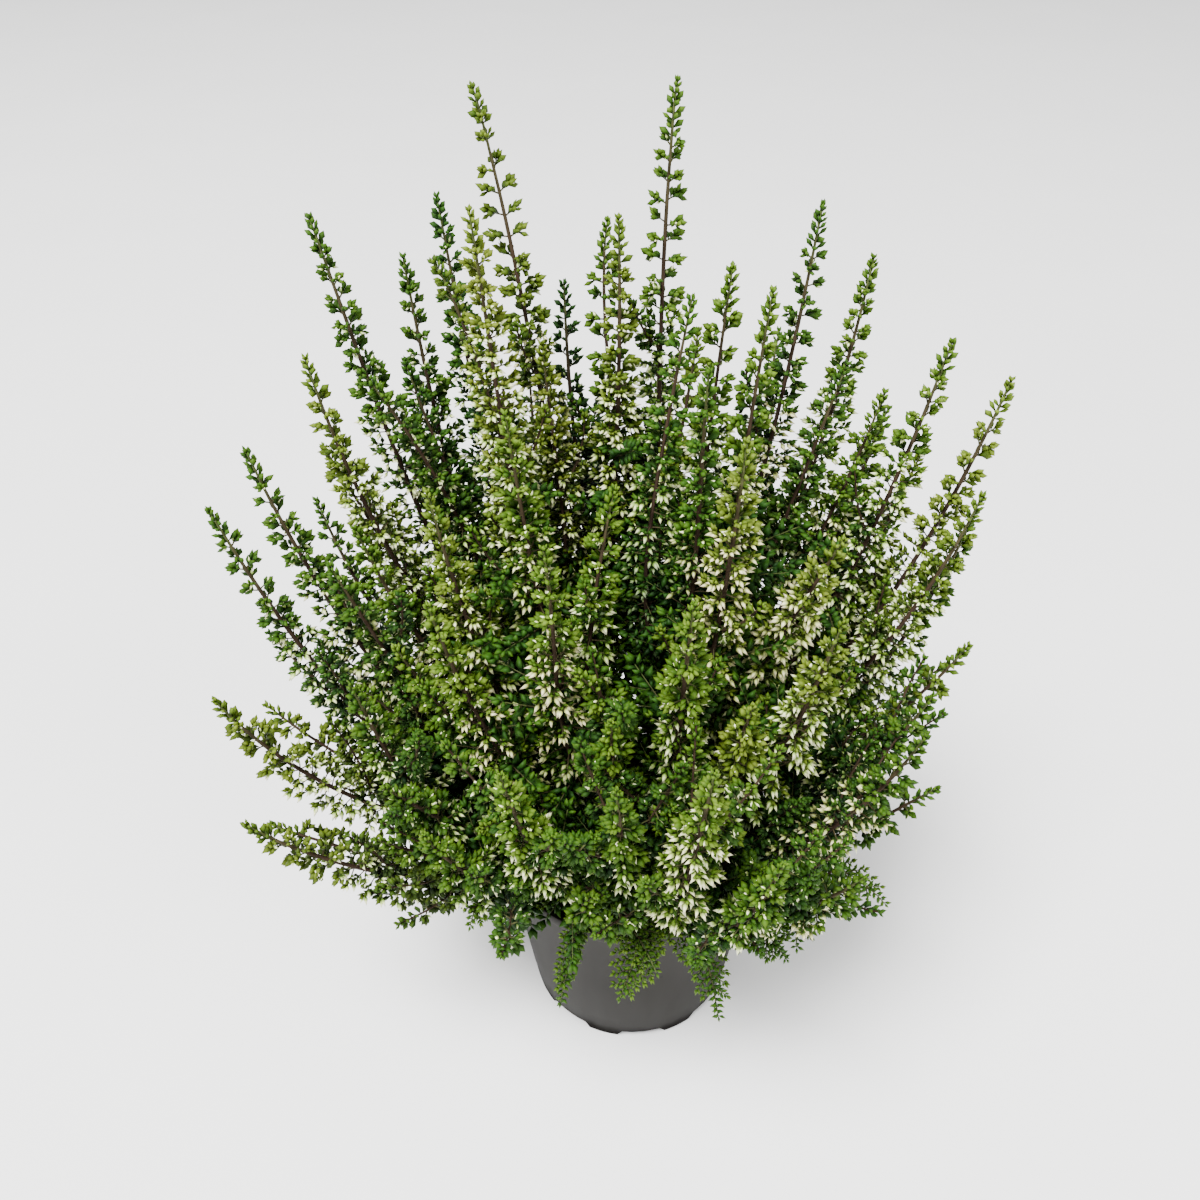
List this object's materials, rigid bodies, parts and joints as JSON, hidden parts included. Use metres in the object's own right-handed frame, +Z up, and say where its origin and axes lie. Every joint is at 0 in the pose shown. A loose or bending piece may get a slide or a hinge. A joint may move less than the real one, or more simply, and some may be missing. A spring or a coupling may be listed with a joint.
{
  "type": "potted heather",
  "caption": "Bud-flowering heather with upright budded sprays and low leafy shoots, standing in peat in a tapered grey plastic nursery pot.",
  "frame": {"origin": "middle of the pot's base, on the surface that it stands on", "axes": "+Z up, along the pot's axis; -Y towards the side that the picture is taken from; +X to that view's right"},
  "size_m": [0.2623, 0.2229, 0.3626],
  "materials": {
    "pot": "smooth matte, warm grey",
    "peat": "crumbly, dark brown",
    "wood": "matte brown bark",
    "spray": "green shoots with cream-white buds",
    "shoot": "soft green leaves"
  },
  "bodies": {
    "root": {"pot": "pot", "peat": "peat", "crown_1": "wood", "crown_2": "wood", "crown_3": "wood", "crown_4": "wood", "tall_back_left": "spray", "tall_back": "spray", "back_middle": "spray", "back_left_1": "spray", "back_left_2": "spray", "back_left_3": "spray", "bright_left": "spray", "back_dark_1": "spray", "middle_2": "spray", "back_right_1": "spray", "back_right_2": "spray", "right_1": "spray", "right_2": "spray", "left_1": "spray", "left_2": "spray", "left_3": "spray", "left_low_1": "spray", "left_low_2": "spray", "left_low_3": "spray", "right_low_1": "spray", "right_3": "spray", "front_left_1": "spray", "front_left_2": "spray", "front_left_3": "spray", "front_left_4": "spray", "front_left_5": "spray", "front_1": "spray", "front_2": "spray", "front_3": "spray", "front_4": "spray", "front_5": "spray", "front_6": "spray", "front_right_1": "spray", "front_right_2": "spray", "front_right_3": "spray", "inner_1": "spray", "inner_2": "spray", "inner_3": "spray", "rear_1": "spray", "rear_2": "spray", "rear_3": "spray", "rear_4": "spray", "rear_5": "spray", "rear_6": "spray", "rear_7": "spray", "rear_low_1": "spray", "rear_low_2": "spray", "rear_low_3": "spray", "skirt_front_left": "shoot", "skirt_front_right": "shoot", "skirt_right": "shoot", "skirt_left": "shoot", "skirt_back_right": "shoot", "skirt_back_left": "shoot"}
  },
  "joints": []
}
